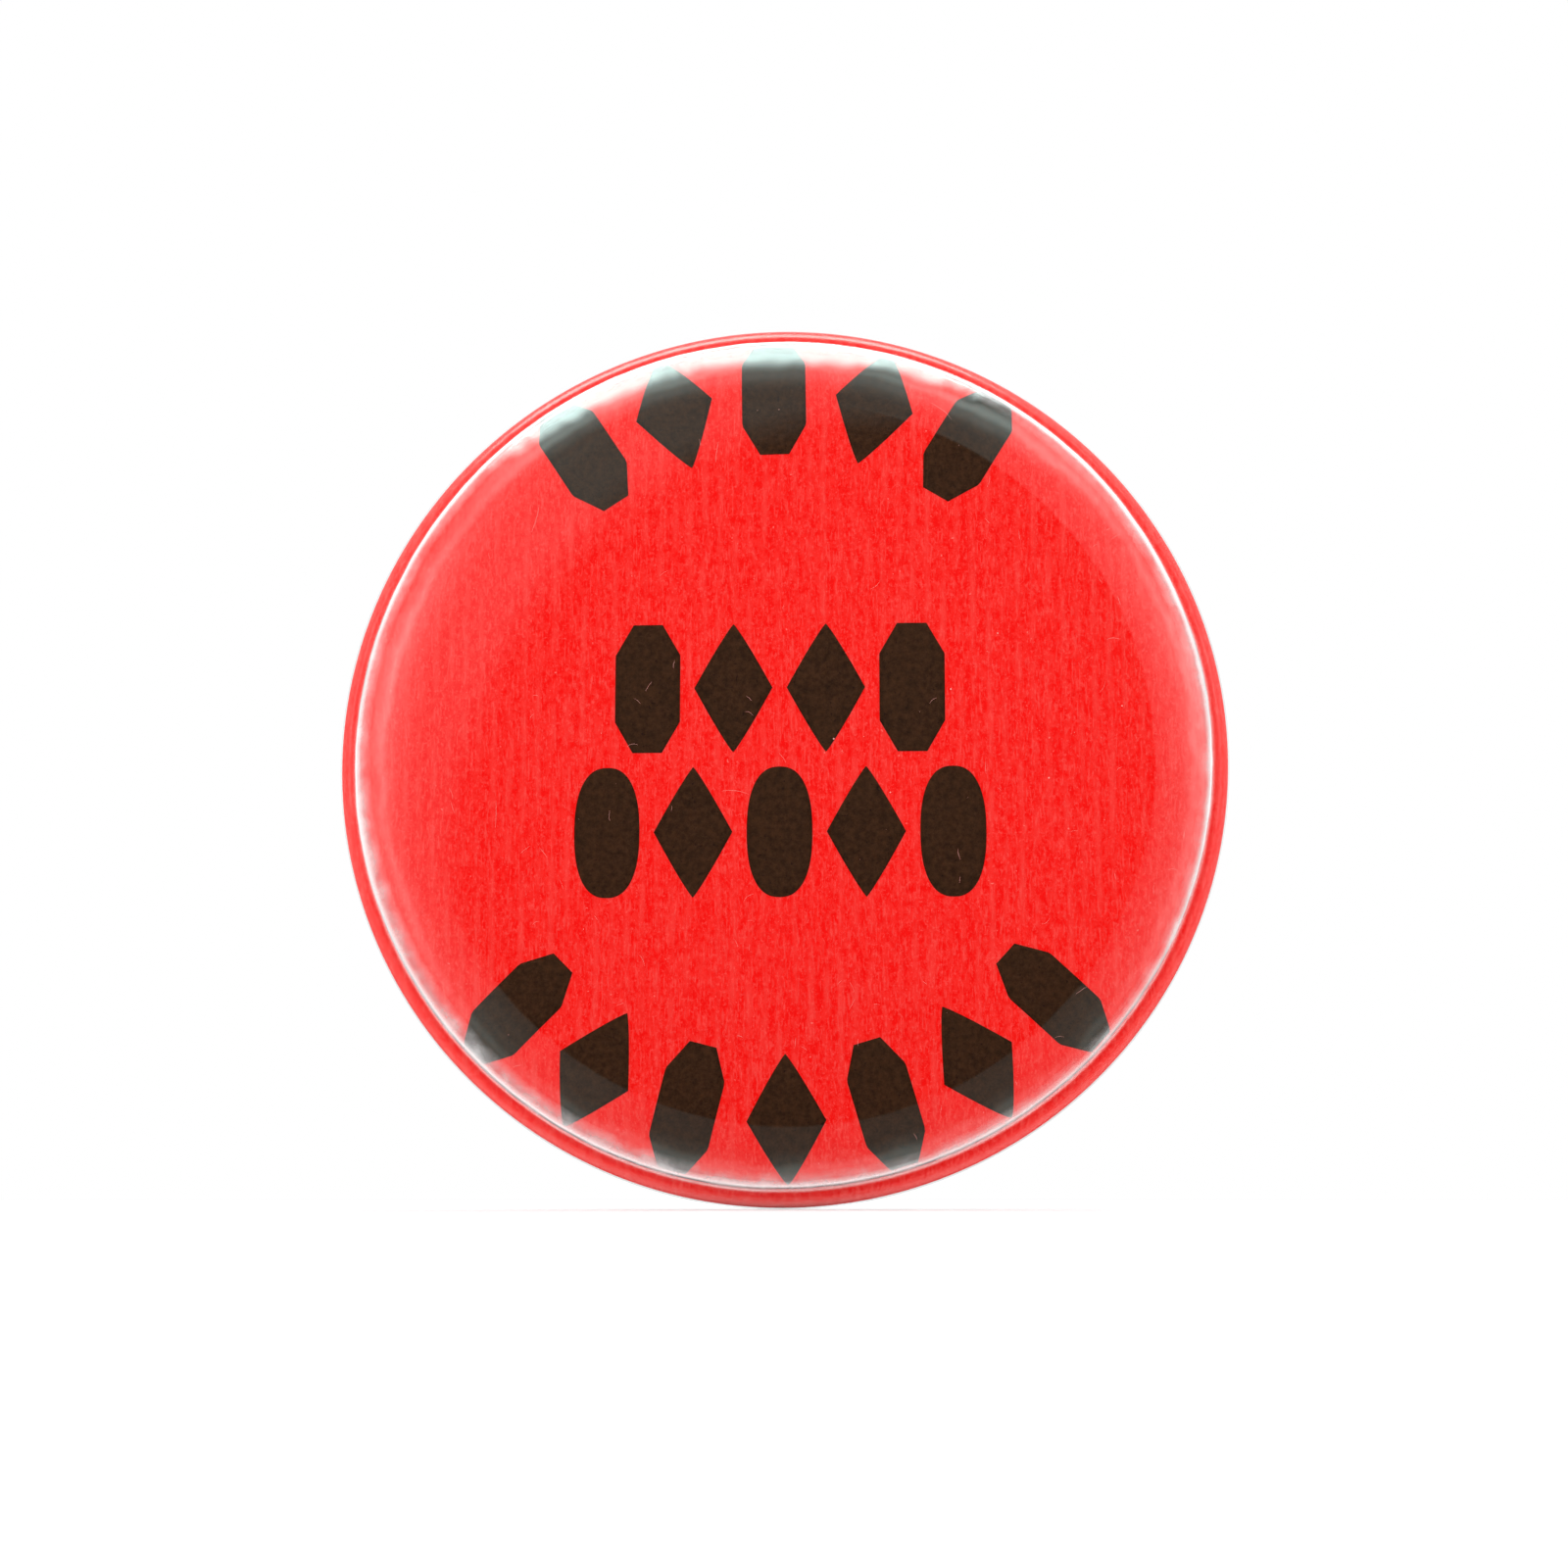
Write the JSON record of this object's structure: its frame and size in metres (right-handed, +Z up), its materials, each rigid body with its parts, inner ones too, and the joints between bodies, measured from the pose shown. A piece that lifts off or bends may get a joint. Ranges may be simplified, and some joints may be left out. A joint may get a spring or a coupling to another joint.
{
  "type": "button badge",
  "caption": "Round pin-back button badge: a domed printed face under clear film, rolled over a metal back with a hinged pin and a turning safety catch.",
  "frame": {"origin": "centre of the badge on its rear plane, where the rolled rim bears on the cloth", "axes": "+Z up as the badge is worn, -Y out of the printed face, +Y out of the back towards the wearer, +X towards the pin's point"},
  "size_m": [0.0762, 0.0101, 0.0762],
  "materials": {
    "clear_film": "clear polyester film, glossy",
    "printed_paper": "red paper with dark brown print",
    "tinplate": "bright tinplate",
    "nickel_plate": "nickel plated, satin",
    "rivet_steel": "plated steel, bright heads",
    "pin_wire": "polished plated wire"
  },
  "bodies": {
    "badge": {"clear_film": "clear_film", "paper_insert": "printed_paper", "front_shell": "tinplate", "back_plate": "tinplate", "pin_bar": "nickel_plate", "bar_rivets": "rivet_steel", "hinge_rivet": "rivet_steel"},
    "pin": {"pin_stem": "pin_wire"},
    "catch": {"catch_roller": "nickel_plate"}
  },
  "joints": [
    {"name": "pin_swing", "type": "hinge", "parent": "badge", "child": "pin", "pos_m": [-0.015, 0.0019, 0.009], "axis": [0, 0, 1], "range_deg": [0, 100]},
    {"name": "catch_turn", "type": "hinge", "parent": "badge", "child": "catch", "pos_m": [0.01485, 0.0019, 0.009], "axis": [-1, 0, 0], "range_deg": [0, 100]}
  ]
}
